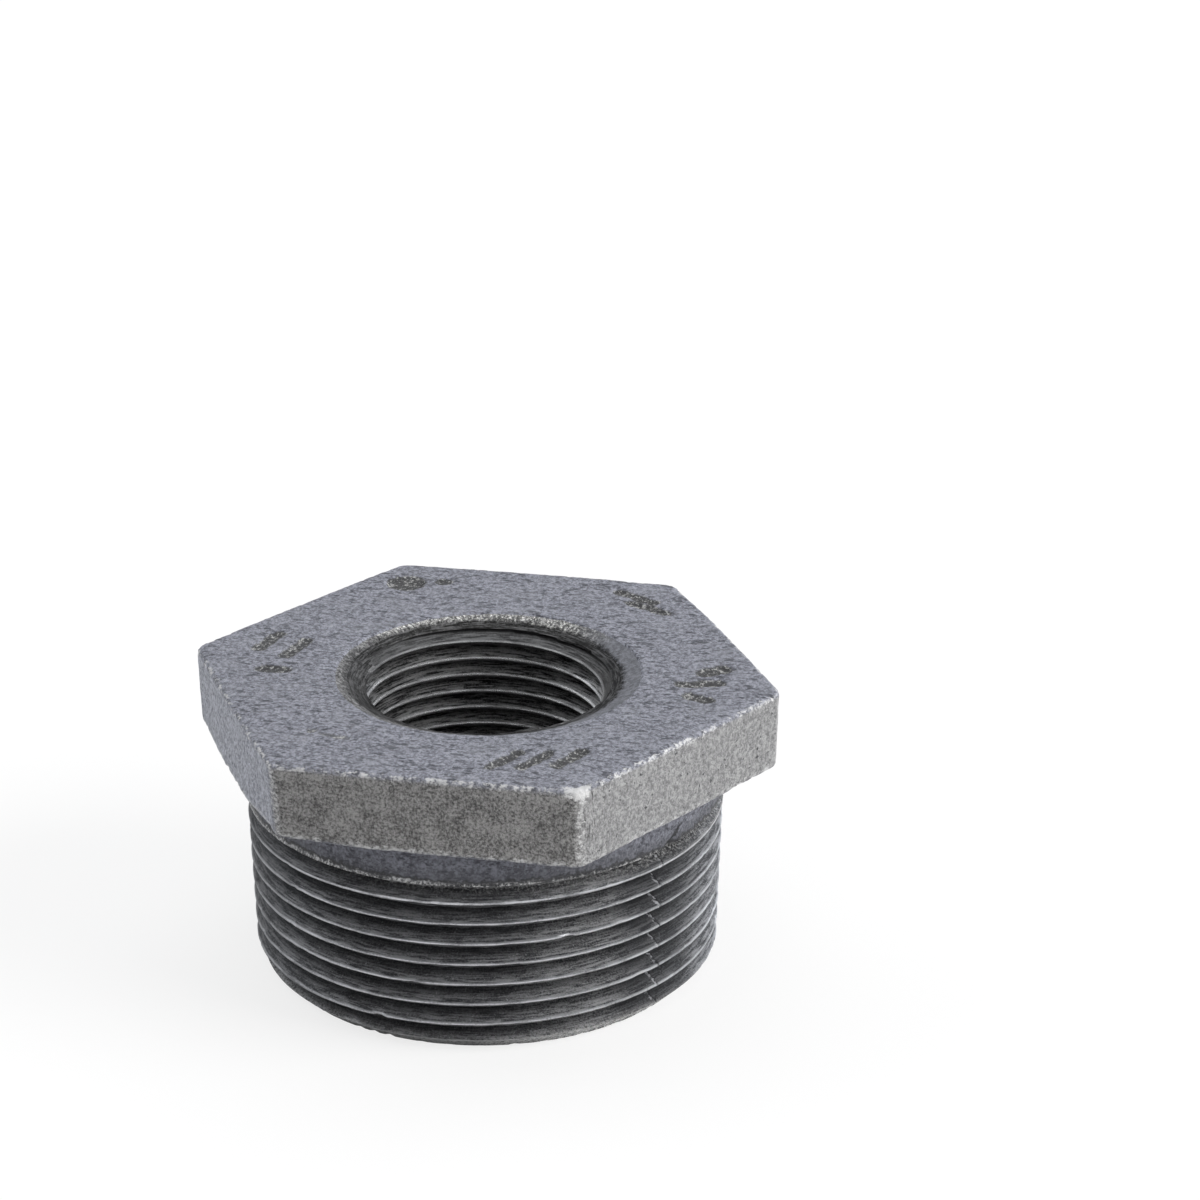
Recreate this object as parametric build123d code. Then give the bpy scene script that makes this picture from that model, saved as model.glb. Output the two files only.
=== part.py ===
from build123d import *
import math
import os

# A hex bushing for pipe work: one iron casting with a machined pipe thread.
# It reduces a 1-1/2 inch pipe opening to a 3/4 inch one. The male thread screws into
# the larger opening, the bore takes the smaller pipe, and a wrench turns it by the
# hexagonal head.
# The part stands on its thread end at z = 0 with its axis on Z. The head is on top,
# two of its corners lie on the X axis, and two of its flats face along Y.

# Driving sizes of the casting, in millimetres
overall_height = 30.73
head_height = 8.2
flat_overhang = 2.0
corner_radius = 1.8
face_rim = 0.5
under_rim = 0.4
neck_length = 3.0
neck_flare = 0.9
recess_depth = 12.0
recess_wall = 4.6

# Male taper pipe thread: its pitch diameter is at the thread end, angles are in degrees,
# and the crest truncation is a share of the pitch. A sharp tool cuts the root.
male_threads_per_inch = 11.5
male_pitch_diameter = 45.62
taper_on_diameter = 1 / 16
flank_angle = 30.0
crest_truncation = 0.088
run_out_angle = -142.0
lead_chamfer = 1.8

# Straight tapping hole for the female thread, with a shallow countersink at the head face
tapping_diameter = 23.4
mouth_diameter = 30.4
mouth_depth = 1.9

# Cutters: how far they run past the faces they open, how far the flanks run on past
# the crest as a share of the pitch, how far one turn laps over the next as a share of a
# turn, and how much shallower the run-out starts than the full groove
overrun = 0.5
crest_pass = 0.04
turn_lap = 0.02
run_out_step = 0.03

# The thread's proportions, from the pitch line out to its crest and in to its root
MILLIMETRES_PER_INCH = 25.4
male_pitch = MILLIMETRES_PER_INCH / male_threads_per_inch
taper_slope = taper_on_diameter / 2
taper_angle = math.degrees(math.atan(taper_slope))
flank_run = math.tan(math.radians(flank_angle))
root_offset = male_pitch / 4 / flank_run
crest_offset = root_offset - crest_truncation * male_pitch


def pitch_radius(z):
    """Radius of the pitch cone at a height, which grows towards the head."""
    return male_pitch_diameter / 2 + z * taper_slope


def crest_radius(z):
    """Radius of the shank before it is threaded."""
    return pitch_radius(z) + crest_offset


# Heights and radii that follow from the driving sizes
head_underside = overall_height - head_height
flare_foot = head_underside - neck_flare
thread_top = head_underside - neck_length
neck_radius = crest_radius(flare_foot)
flat_apothem = neck_radius + flat_overhang
recess_radius = pitch_radius(0) - root_offset - recess_wall


def turned(corners):
    """A solid of revolution about Z from its corners, given as radius and height."""
    profile = make_face(Polyline(corners, close=True))
    return revolve(Plane.XZ * profile, Axis.Z)


def hex_head():
    """The wrench head, with rounded corners and broken rims."""
    outline = RegularPolygon(flat_apothem, 6, major_radius=False)
    outline = fillet(outline.vertices(), corner_radius)
    block = extrude(Pos(0, 0, overall_height) * outline, -head_height)
    top_edges = block.faces().sort_by(Axis.Z)[-1].edges()
    block = chamfer(top_edges, face_rim)
    under_edges = block.faces().sort_by(Axis.Z)[0].edges()
    return chamfer(under_edges, under_rim)


def shank_blank():
    """The body under the head before threading: lead chamfer, taper and cast flare."""
    top = overall_height - face_rim - overrun
    return turned([
        (0, 0),
        (crest_radius(0) - lead_chamfer, 0),
        (crest_radius(lead_chamfer), lead_chamfer),
        (neck_radius, flare_foot),
        (neck_radius + neck_flare, head_underside),
        (neck_radius + neck_flare, top),
        (0, top),
    ])


def groove_turn(height, radius, climb_angle):
    """One turn of the male groove, which starts at a height and pitch radius on the X side."""
    root = radius - root_offset
    crest = radius + crest_offset + crest_pass * male_pitch
    half_width = (crest - root) * flank_run
    corners = [
        (root, height),
        (crest, height - half_width),
        (crest + overrun, height - half_width),
        (crest + overrun, height + half_width),
        (crest, height + half_width),
    ]
    section = Plane.XZ * make_face(Polyline(corners, close=True))
    path = Helix(
        pitch=male_pitch,
        height=male_pitch * (1 + turn_lap),
        radius=radius,
        center=(0, 0, height),
        cone_angle=climb_angle,
    )
    return sweep(section, path=path, is_frenet=True)


def cut_male_thread(blank):
    """Cuts the groove turn by turn down the shank, then lets it run out under the flare."""
    full_top = thread_top - male_pitch
    turns = math.ceil(full_top / male_pitch) + 1
    for turn in range(1, turns + 1):
        height = full_top - turn * male_pitch
        cutter = groove_turn(height, pitch_radius(height), taper_angle)
        blank -= Rot(0, 0, run_out_angle) * cutter
    climb = root_offset + crest_offset + crest_pass * male_pitch
    climb_angle = math.degrees(math.atan(climb / male_pitch))
    cutter = groove_turn(full_top, pitch_radius(full_top) + run_out_step, climb_angle)
    return blank - Rot(0, 0, run_out_angle) * cutter


def bore_and_mouth():
    """The hole from the recess to the countersink at the head face."""
    return turned([
        (0, recess_depth - overrun),
        (tapping_diameter / 2, recess_depth - overrun),
        (tapping_diameter / 2, overall_height - mouth_depth),
        (mouth_diameter / 2, overall_height),
        (mouth_diameter / 2, overall_height + overrun),
        (0, overall_height + overrun),
    ])


def cored_recess():
    """The cast hollow at the thread end, which keeps the walls even."""
    depth = recess_depth + overrun
    core = Cylinder(recess_radius, depth, align=(Align.CENTER, Align.CENTER, Align.MIN))
    return Pos(0, 0, -overrun) * core


shank = cut_male_thread(shank_blank())
hex_bushing = hex_head() + shank - cored_recess() - bore_and_mouth()

os.makedirs("parts", exist_ok=True)
export_step(hex_bushing, "parts/hex_bushing.step")
print(f"across flats {2 * flat_apothem:.2f}, neck radius {neck_radius:.2f}")
print(f"recess radius {recess_radius:.2f}")
print(f"solids {len(hex_bushing.solids())}, valid {hex_bushing.is_valid}, volume {hex_bushing.volume:.0f}")
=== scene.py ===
# %% [markdown]
# # A cast iron hex bushing
# A hex bushing reduces a wide pipe opening to a narrow one. It is one iron casting:
# a hexagonal head for the wrench, a male taper thread outside and a smaller female
# thread in the bore. The CAD model gives the frame, and this script adds what the CAD
# model leaves out: the female thread, the casting's soft edges and grain, its wear and
# its colours.

# %% Load the frame
import bmesh
import bpy
import numpy as np
from math import ceil, cos, hypot, radians, sin, tan, tau
from mathutils import Matrix, Vector, noise


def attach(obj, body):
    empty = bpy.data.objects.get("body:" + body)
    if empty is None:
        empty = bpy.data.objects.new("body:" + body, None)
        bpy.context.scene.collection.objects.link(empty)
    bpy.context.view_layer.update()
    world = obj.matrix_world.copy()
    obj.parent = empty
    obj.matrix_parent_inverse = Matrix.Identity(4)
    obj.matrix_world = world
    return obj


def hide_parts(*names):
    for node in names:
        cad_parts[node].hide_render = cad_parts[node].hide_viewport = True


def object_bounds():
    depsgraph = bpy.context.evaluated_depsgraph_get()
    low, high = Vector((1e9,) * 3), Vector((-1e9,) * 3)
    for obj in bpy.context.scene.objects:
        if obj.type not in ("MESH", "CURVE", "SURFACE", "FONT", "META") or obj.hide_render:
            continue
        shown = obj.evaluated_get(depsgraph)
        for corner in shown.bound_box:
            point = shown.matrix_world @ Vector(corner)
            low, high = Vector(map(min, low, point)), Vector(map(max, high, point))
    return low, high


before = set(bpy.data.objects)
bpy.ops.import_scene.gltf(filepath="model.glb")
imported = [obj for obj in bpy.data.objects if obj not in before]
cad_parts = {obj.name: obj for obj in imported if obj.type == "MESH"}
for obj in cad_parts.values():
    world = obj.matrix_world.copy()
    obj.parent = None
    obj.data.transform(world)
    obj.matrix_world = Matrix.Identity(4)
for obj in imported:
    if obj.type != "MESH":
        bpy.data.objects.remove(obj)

cad_low, cad_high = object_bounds()
print("CAD box in mm", [round(1000 * v, 2) for v in (*cad_low, *cad_high)])

# %% [markdown]
# ## Sizes
# Blender works in metres, so every size below is written in millimetres and multiplied
# by MM. The head's outline comes from the frame. The thread sizes are those of the
# standard taper pipe threads, 11.5 turns to the inch outside and 14 inside, which grow
# by 1 mm in diameter for each 16 mm of length. STEPS is how many steps make one turn.

# %% Driving sizes
MM = 0.001
INCH = 25.4
TOP = cad_high.z
HALF_FLATS = cad_high.y
HEAD = 8.2 * MM
NECK = 3.0 * MM
UNDERSIDE = TOP - HEAD
THREAD_TOP = UNDERSIDE - NECK
FLARE = 0.9 * MM
MOUTH_RADIUS = 15.2 * MM
MOUTH_SLOPE = 1.9 / 3.5
RECESS_RADIUS = 17.25 * MM
RECESS_DEPTH = 12.0 * MM
LEAD_CHAMFER = 1.8 * MM
TAPER = 1 / 32
MALE_PITCH = INCH / 11.5 * MM
FEMALE_PITCH = INCH / 14 * MM
MALE_PITCH_RADIUS = 45.62 / 2 * MM
FEMALE_PITCH_RADIUS = 25.12 / 2 * MM
STEPS = 240
print("pitches in mm", round(MALE_PITCH / MM, 3), round(FEMALE_PITCH / MM, 3))

# %% [markdown]
# Both threads are a V of 60 degrees whose crests and roots are cut flat by a share of the
# pitch. These rules give the radius of the crests and the depth of the V, so that the
# blank and its cutters agree. The countersink at the mouth of the bore ends where it
# meets the thread's crests.

# %% Thread form
V_RUN = tan(radians(30))
SHARP_SHARE = 0.25 / V_RUN
CREST_CUT = 0.088
ROOT_CUT = 0.02
CREST_SHARE = SHARP_SHARE - CREST_CUT
ROOT_SHARE = SHARP_SHARE - ROOT_CUT


def male_crest(z):
    """Radius of the male thread's crests at a height."""
    return MALE_PITCH_RADIUS + z * TAPER + CREST_SHARE * MALE_PITCH


def female_crest(z):
    """Radius of the female thread's crests at a height."""
    return FEMALE_PITCH_RADIUS - (TOP - z) * TAPER - CREST_SHARE * FEMALE_PITCH


MOUTH_DEPTH = (MOUTH_RADIUS - female_crest(TOP)) / (1 / MOUTH_SLOPE - TAPER)
NECK_RADIUS = male_crest(UNDERSIDE - FLARE)
print("male crests", round(male_crest(0) / MM, 2), "to", round(male_crest(THREAD_TOP) / MM, 2))
print("bore crests", round(female_crest(TOP) / MM, 2), "to", round(female_crest(RECESS_DEPTH) / MM, 2))
print("countersink depth", round(MOUTH_DEPTH / MM, 2))

# %% [markdown]
# ## Selecting by place
# In the window a modeller clicks on what the next operator should act on. A script picks
# by place instead: everything is dropped, and then a rule says which faces, edges or
# vertices are taken.


# %% Selection helpers
def pick(kind, rule):
    """In edit mode, selects only the verts, edges or faces that the rule accepts."""
    bpy.ops.mesh.select_all(action="DESELECT")
    bpy.ops.mesh.select_mode(type={"verts": "VERT", "edges": "EDGE", "faces": "FACE"}[kind])
    mesh = bmesh.from_edit_mesh(bpy.context.object.data)
    taken = [item for item in getattr(mesh, kind) if rule(item)]
    for item in taken:
        item.select_set(True)
    mesh.select_flush_mode()
    bmesh.update_edit_mesh(bpy.context.object.data)
    return len(taken)


def only(piece):
    """Makes one object the active one and the only one selected."""
    bpy.ops.object.select_all(action="DESELECT")
    piece.select_set(True)
    bpy.context.view_layer.objects.active = piece


def all_at(z):
    """A rule for edges whose two ends lie at a height and that have one face or none."""
    return lambda e: len(e.link_faces) < 2 and all(abs(v.co.z - z) < 0.01 * MM for v in e.verts)


print("selection helpers", pick.__name__, only.__name__, all_at.__name__)

# %% [markdown]
# ## The head
# The wrench head starts as a circle of six vertices. Bevelling the vertices rounds the
# corners of the hexagon, and the long sides are cut into short edges so that the rim can
# wear unevenly later. Each side with its corner then has as many edges as a sixth of a
# turn, which makes it easy to bridge to the round parts.

# %% Outline of the hexagon
CORNER_RADIUS = 1.8 * MM
CORNER_STEPS = 4
INSIDE_THE_FRAME = 0.03 * MM
SHARP_REACH = (HALF_FLATS - INSIDE_THE_FRAME) / cos(radians(30))
bpy.ops.object.select_all(action="DESELECT")
bpy.ops.mesh.primitive_circle_add(
    vertices=6, radius=SHARP_REACH, location=(0, 0, TOP), rotation=(0, 0, radians(30))
)
casting = bpy.context.object
casting.name = casting.data.name = "threaded_casting"
bpy.ops.object.transform_apply(location=True, rotation=True, scale=True)
bpy.ops.object.mode_set(mode="EDIT")
bpy.ops.mesh.select_all(action="SELECT")
bpy.ops.mesh.bevel(offset=CORNER_RADIUS * tan(radians(30)), segments=CORNER_STEPS, affect="VERTICES")
long_sides = pick("edges", lambda e: e.calc_length() > 5 * MM)
bpy.ops.mesh.subdivide(number_cuts=STEPS // 6 - CORNER_STEPS - 1)
print("long sides", long_sides, "vertices", len(bmesh.from_edit_mesh(casting.data).verts))

# %% [markdown]
# Sand casting leaves no sharp rims, so the sides aren't one straight extrusion. The loop
# is extruded and scaled ring by ring: first over the rounded top rim, then down the flats
# in even rows, and last round the lower rim.


# %% Rings over the rim and down the flats
def extrude_ring(height, inset, last):
    """Extrudes the selected loop to a height and an inset from the flats."""
    now = (HALF_FLATS - inset) / (HALF_FLATS - last[1])
    bpy.ops.mesh.extrude_edges_move(TRANSFORM_OT_translate={"value": (0, 0, height - last[0])})
    bpy.ops.transform.resize(value=(now, now, 1))
    return height, inset


RIM = 0.5 * MM
RIM_STEPS = 4
LOW_RIM = 0.4 * MM
LOW_RIM_STEPS = 3
FLAT_ROWS = 10
bpy.ops.mesh.select_all(action="SELECT")
shrink = (HALF_FLATS - RIM) / HALF_FLATS
bpy.ops.transform.resize(value=(shrink, shrink, 1))
ring = (TOP, RIM)
for step in range(1, RIM_STEPS + 1):
    turn = radians(90 * step / RIM_STEPS)
    ring = extrude_ring(TOP - RIM * (1 - cos(turn)), RIM * (1 - sin(turn)), ring)
row = (HEAD - RIM - LOW_RIM) / FLAT_ROWS
for step in range(FLAT_ROWS):
    ring = extrude_ring(ring[0] - row, 0, ring)
for step in range(1, LOW_RIM_STEPS + 1):
    turn = radians(90 * step / LOW_RIM_STEPS)
    ring = extrude_ring(UNDERSIDE + LOW_RIM * (1 - sin(turn)), LOW_RIM * (1 - cos(turn)), ring)
bpy.ops.object.mode_set(mode="OBJECT")
print("head rings end at", round(ring[0] / MM, 2), "faces", len(casting.data.polygons))

# %% [markdown]
# ## The turned part
# Everything else is round: the countersunk mouth, the bore, the cored recess, the thread
# end and the shank. A lathe would turn it, and Spin does the same. One vertex is extruded
# along the outline, and the outline is spun once round the axis.


# %% Outline helpers
def draw_outline(name, corners):
    """An object whose mesh is a chain of edges in the XZ plane through the corners."""
    bpy.ops.object.select_all(action="DESELECT")
    bpy.ops.mesh.primitive_plane_add(size=MM)
    piece = bpy.context.object
    piece.name = piece.data.name = name
    bpy.ops.object.mode_set(mode="EDIT")
    bpy.ops.mesh.select_mode(type="VERT")
    bpy.ops.mesh.select_all(action="SELECT")
    bpy.ops.mesh.merge(type="CENTER")
    here = Vector((0, 0))
    for index, corner in enumerate(corners):
        move = Vector(corner) - here
        if index == 0:
            bpy.ops.transform.translate(value=(move.x, 0, move.y))
        else:
            bpy.ops.mesh.extrude_region_move(TRANSFORM_OT_translate={"value": (move.x, 0, move.y)})
        here = Vector(corner)
    return piece


def arc(centre, reach, first, last, count):
    """Corners on a round about a centre at one reach, between two angles in degrees."""
    turns = [radians(first + (last - first) * i / count) for i in range(count + 1)]
    return [(centre[0] + reach * cos(a), centre[1] + reach * sin(a)) for a in turns]


print("corners on a quarter round", len(arc((0, 0), MM, 90, 0, 3)))

# %% [markdown]
# The outline runs from the mouth down the countersink, through the bore and the recess,
# round the end of the thread and up the shank to the flare under the head. The
# countersink gets several rows, because its torn surface is shaped by moving vertices.

# %% Spin the shank and the bore
RECESS_ROUND = 2.0 * MM
MOUTH_ROWS = 7
mouth_rows = [
    (MOUTH_RADIUS - MOUTH_DEPTH / MOUTH_SLOPE * i / MOUTH_ROWS, TOP - MOUTH_DEPTH * i / MOUTH_ROWS)
    for i in range(1, MOUTH_ROWS + 1)
]
turned = draw_outline("turned_outline", [
    (MOUTH_RADIUS, TOP),
    *mouth_rows,
    (female_crest(RECESS_DEPTH), RECESS_DEPTH),
    *arc((RECESS_RADIUS - RECESS_ROUND, RECESS_DEPTH - RECESS_ROUND), RECESS_ROUND, 90, 0, 3),
    (RECESS_RADIUS, 0),
    (male_crest(0) - LEAD_CHAMFER, 0),
    (male_crest(LEAD_CHAMFER), LEAD_CHAMFER),
    (male_crest(THREAD_TOP), THREAD_TOP),
    *arc((NECK_RADIUS + FLARE, UNDERSIDE - FLARE), FLARE, 180, 90, 4),
])
bpy.ops.mesh.select_all(action="SELECT")
bpy.ops.mesh.spin(steps=STEPS, angle=tau, center=(0, 0, 0), axis=(0, 0, 1))
bpy.ops.mesh.select_all(action="SELECT")
bpy.ops.mesh.remove_doubles(threshold=0.001 * MM)
bpy.ops.object.mode_set(mode="OBJECT")
print("turned faces", len(turned.data.polygons))

# %% [markdown]
# The head and the turned part now each have a loop at the head face and one at the
# underside. Joined in one mesh, each pair of loops is bridged. The cuts of the bridge give
# the head face rings of short faces, which the sunken marks and the grain need.

# %% Bridge the faces of the head
FACE_CUTS = 20
UNDERSIDE_CUTS = 3
only(turned)
casting.select_set(True)
bpy.context.view_layer.objects.active = casting
bpy.ops.object.join()
bpy.ops.object.mode_set(mode="EDIT")
pick("edges", all_at(TOP))
bpy.ops.mesh.bridge_edge_loops(number_cuts=FACE_CUTS, interpolation="LINEAR")
pick("edges", all_at(UNDERSIDE))
bpy.ops.mesh.bridge_edge_loops(number_cuts=UNDERSIDE_CUTS, interpolation="LINEAR")
bpy.ops.mesh.select_all(action="SELECT")
bpy.ops.mesh.normals_make_consistent(inside=False)
open_edges = pick("edges", lambda e: len(e.link_faces) != 2)
bpy.ops.object.mode_set(mode="OBJECT")
print("blank faces", len(casting.data.polygons), "open edges", open_edges)

# %% [markdown]
# ## The threads
# A thread is a V groove along a helix. It could be swept as a ridge and joined on, but
# cutting it as a die or a tap does leaves one closed body. These helpers move vertices:
# they read all places at once, push them away from the axis and write them back.


# %% Moving vertices
def read_places(piece):
    """The places of a mesh's vertices, one row for each."""
    places = np.empty(len(piece.data.vertices) * 3)
    piece.data.vertices.foreach_get("co", places)
    return places.reshape(-1, 3)


def write_places(piece, places):
    """Puts the vertices of a mesh where the rows say."""
    piece.data.vertices.foreach_set("co", places.ravel())
    piece.data.update()


def push_out(piece, rule):
    """Moves each vertex away from the axis by what the rule gives for its place in order."""
    places = read_places(piece)
    radius = np.hypot(places[:, 0], places[:, 1])
    grown = (radius + rule(np.arange(len(places)))) / radius
    places[:, :2] *= grown[:, None]
    write_places(piece, places)


print("vertices of the blank", len(read_places(casting)))

# %% [markdown]
# The cutter's section is the V, closed at its back. It reaches a little past the crests,
# so that no thin skin of metal is left on them. Its flanks have corners at each third,
# which gives the thread's flanks more and smaller faces.

# %% Section of the groove
CREST_PASS = 0.04
CUTTER_BACK = 0.6 * MM


def groove_corners(pitch, start, radius, outward):
    """Corners of a V of 60 degrees at a height, with its pitch line at a radius."""
    root = radius - outward * ROOT_SHARE * pitch
    crest = radius + outward * (CREST_SHARE + CREST_PASS) * pitch
    root_half = ROOT_CUT * pitch * V_RUN
    crest_half = root_half + abs(crest - root) * V_RUN
    back = crest + outward * CUTTER_BACK
    thirds = (0, 1 / 3, 2 / 3, 1)
    flank = [(root + (crest - root) * t, root_half + (crest_half - root_half) * t) for t in thirds]
    below = [(r, start - half) for r, half in flank]
    above = [(r, start + half) for r, half in reversed(flank)]
    return [*below, (back, start - crest_half), (back, start + crest_half), *above]


print("corners of a V", len(groove_corners(MALE_PITCH, 0, MALE_PITCH_RADIUS, 1)))

# %% [markdown]
# The Screw modifier carries the section round the axis and lifts it by one pitch a turn.
# Both ends are closed, because a Boolean needs a closed body to tell inside from outside.
# It then takes the cutter away from the blank, with the exact solver, which copes with
# the many faces that nearly touch.


# %% Groove cutter
def groove_cutter(name, pitch, start, turns, radius, outward, angle):
    """The V wound round the axis from a height and turned by an angle, and its corner count."""
    corners = groove_corners(pitch, start, radius, outward)
    cutter = draw_outline(name, corners)
    ends = [Vector((r, 0, height)) for r, height in (corners[0], corners[-1])]
    pick("verts", lambda v: min((v.co - end).length for end in ends) < 0.0005 * MM)
    bpy.ops.mesh.edge_face_add()
    bpy.ops.object.mode_set(mode="OBJECT")
    screw = cutter.modifiers.new("Turns", "SCREW")
    screw.angle = tau
    screw.screw_offset = pitch
    screw.iterations = turns
    screw.steps = screw.render_steps = STEPS
    bpy.ops.object.modifier_apply(modifier=screw.name)
    bpy.ops.object.mode_set(mode="EDIT")
    bpy.ops.mesh.select_all(action="SELECT")
    bpy.ops.mesh.fill_holes(sides=0)
    bpy.ops.mesh.select_all(action="SELECT")
    bpy.ops.mesh.normals_make_consistent(inside=False)
    bpy.ops.object.mode_set(mode="OBJECT")
    cutter.data.transform(Matrix.Rotation(radians(angle), 4, "Z"))
    return cutter, len(corners)


def cut_away(cutter):
    """Subtracts the cutter from the casting and deletes it."""
    only(casting)
    cut = casting.modifiers.new("Cut", "BOOLEAN")
    cut.operation = "DIFFERENCE"
    cut.solver = "EXACT"
    cut.object = cutter
    bpy.ops.object.modifier_apply(modifier=cut.name)
    bpy.data.objects.remove(cutter)
    print("faces after the cut", len(casting.data.polygons))


print("each turn is wound in", STEPS, "steps")

# %% [markdown]
# The die that cuts the male thread opens at the end of its stroke, so the groove of the
# last turn grows shallow and runs out under the head. The vertices of the cutter follow
# the taper, and those of its last turn are pushed outwards more and more until they leave
# the metal.

# %% Male thread
RUN_OUT_ANGLE = -142.0
RUN_OUT_SPARE = 0.06
RUN_OUT = (ROOT_SHARE + CREST_SHARE + RUN_OUT_SPARE) * MALE_PITCH
FULL_TOP = THREAD_TOP - MALE_PITCH
male_turns = ceil(FULL_TOP / MALE_PITCH) + 1
male_start = FULL_TOP - male_turns * MALE_PITCH
cutter, section = groove_cutter(
    "male_cutter", MALE_PITCH, male_start, male_turns + 1, MALE_PITCH_RADIUS, 1, RUN_OUT_ANGLE
)


def male_rule(order):
    """How far out a cutter vertex goes for the taper and, in the last turn, the run-out."""
    turn = order // section / STEPS
    climb = np.clip(turn - male_turns, 0, 1)
    return (male_start + turn * MALE_PITCH) * TAPER + climb * RUN_OUT


push_out(cutter, male_rule)
cut_away(cutter)

# %% [markdown]
# A tap cuts the female thread right through to the recess. It narrows downwards, so its
# vertices are pulled inwards the deeper they lie below the head face.

# %% Female thread
FEMALE_ANGLE = -98.6
female_start = RECESS_DEPTH - 2 * FEMALE_PITCH
female_turns = ceil((TOP - female_start) / FEMALE_PITCH) + 1
cutter, section = groove_cutter(
    "female_cutter", FEMALE_PITCH, female_start, female_turns, FEMALE_PITCH_RADIUS, -1, FEMALE_ANGLE
)
push_out(cutter, lambda order: (female_start + order // section / STEPS * FEMALE_PITCH - TOP) * TAPER)
cut_away(cutter)

# %% [markdown]
# ## Clean up
# The cuts leave some vertices almost on top of each other. They are merged, and the
# faces of the head are divided once more, because the grain, the worn rim and the sunken
# marks are shaped there by moving vertices.

# %% Merge and subdivide
only(casting)
bpy.ops.object.mode_set(mode="EDIT")
bpy.ops.mesh.select_all(action="SELECT")
bpy.ops.mesh.remove_doubles(threshold=0.002 * MM)
bpy.ops.mesh.select_all(action="SELECT")
bpy.ops.mesh.dissolve_degenerate(threshold=0.001 * MM)
head_faces = pick(
    "faces",
    lambda f: f.calc_center_median().z > UNDERSIDE + 0.2 * MM
    and hypot(*f.calc_center_median().xy) > MOUTH_RADIUS - 0.05 * MM,
)
bpy.ops.mesh.subdivide(number_cuts=1)
open_edges = pick("edges", lambda e: len(e.link_faces) != 2)
bpy.ops.object.mode_set(mode="OBJECT")
triangles = sum(len(p.vertices) - 2 for p in casting.data.polygons)
print("head faces divided", head_faces, "open edges", open_edges, "triangles", triangles)

# %% [markdown]
# ## Wear and casting skin
# A sand casting is never quite flat: the head has dull lumps, a chewed rim and corners
# that differ from each other. A sculptor would push the surface about by hand. Here the
# vertices are moved by noise and by soft masks, inwards apart from a small shift at the
# mouth, so that the piece stays inside the true sizes. What is worn or lies deep is also
# kept as a colour attribute, which the materials read: they paint a highlight on the worn
# places and shade in the sunken marks.


# %% Noise and mask helpers
def lumps(places, size, shift=0.0):
    """Noise from about -1 to 1 at each place, with lumps of a size in millimetres."""
    return np.array([noise.noise(Vector(p) / (size * MM) + Vector((shift, 0, 0))) for p in places])


def soft(value, low, high):
    """Rises smoothly from 0 at low to 1 at high, also where low is the larger."""
    t = np.clip((value - low) / (high - low), 0, 1)
    return t * t * (3 - 2 * t)


def around(azimuth, middle, half_width):
    """1 at an azimuth and 0 from half_width degrees away from it."""
    apart = np.abs((azimuth - middle + 180) % 360 - 180)
    return soft(apart, half_width, 0)


print("soft mask a quarter, half and all the way up", [float(soft(t, 0, 1)) for t in (0.25, 0.5, 1)])

# %% [markdown]
# Each part of the casting is found by where its vertices lie. How far out a vertex lies
# towards its flat is the largest of three dot products, one for each pair of flats. A
# little slack keeps vertices on a border from falling out by rounding.

# %% Places and masks
places = read_places(casting)
normals = np.empty(places.size)
casting.data.vertices.foreach_get("normal", normals)
normals = normals.reshape(-1, 3)
x, y, z = places.T.copy()
radius = np.hypot(x, y)
azimuth = np.degrees(np.arctan2(y, x))
flat_turns = (radians(-30), radians(30), radians(90))
flat_reach = np.max([np.abs(x * cos(a) + y * sin(a)) for a in flat_turns], axis=0)
SLACK = 0.01 * MM
WALL_RADIUS = 20 * MM
on_head = (z > UNDERSIDE - SLACK) & (radius > MOUTH_RADIUS - SLACK)
on_collar = (z > THREAD_TOP - 0.6 * MM) & (radius > WALL_RADIUS)
in_mouth = (z > TOP - MOUTH_DEPTH - 0.05 * MM) & (radius < MOUTH_RADIUS + SLACK)
in_mouth &= z > TOP - (MOUTH_RADIUS - radius) * MOUTH_SLOPE - 0.06 * MM
in_recess = (z < RECESS_DEPTH + SLACK) & (radius < RECESS_RADIUS + SLACK)
on_male = (z < THREAD_TOP + SLACK) & (radius > WALL_RADIUS)
on_face = on_head & (z > TOP - 0.2 * MM)
print("head", on_head.sum(), "mouth", in_mouth.sum(), "male", on_male.sum(), "recess", in_recess.sum())

# %% [markdown]
# The cast skin gets three sizes of lumps, from broad and shallow to fine. The two rims
# get chips where a ragged noise is high. The rims are marked as bare metal, which is worn
# and is also a painted highlight along the rounded edges. The same noise makes it patchy,
# so that no edge is drawn as a clean line.

# %% Cast skin and chipped rims
SKIN_LUMPS = (
    # depth, size, noise shift
    (0.03, 5.0, 0),
    (0.025, 1.4, 7),
    (0.02, 0.6, 3),
)
cast_skin = on_head | on_collar | in_recess
swell = sum(depth * (1 + lumps(places, size, shift)) for depth, size, shift in SKIN_LUMPS)
inwards = np.where(cast_skin, swell, 0.0)
ragged = lumps(places, 1.1, 11) + 0.8 * lumps(places, 0.5, 5)
at_flats = on_head * soft(flat_reach, HALF_FLATS - 0.8 * MM, HALF_FLATS - 0.25 * MM)
top_rim = at_flats * soft(z, TOP - 1.0 * MM, TOP - 0.4 * MM)
low_rim = at_flats * soft(z, UNDERSIDE + 0.9 * MM, UNDERSIDE + 0.3 * MM)
low_edge = at_flats * soft(z, UNDERSIDE + 1.1 * MM, UNDERSIDE + 0.5 * MM)
chip_depth = 0.02 + 0.10 * soft(ragged, 0.0, 0.7)
inwards += top_rim * chip_depth + low_rim * chip_depth
patchy = 0.34 * soft(ragged, -0.3, 0.4)
worn_and_highlit = top_rim * (0.36 + patchy) + low_edge * (0.46 + patchy)
print("deepest chip", round(inwards.max(), 2), "mm")
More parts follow.
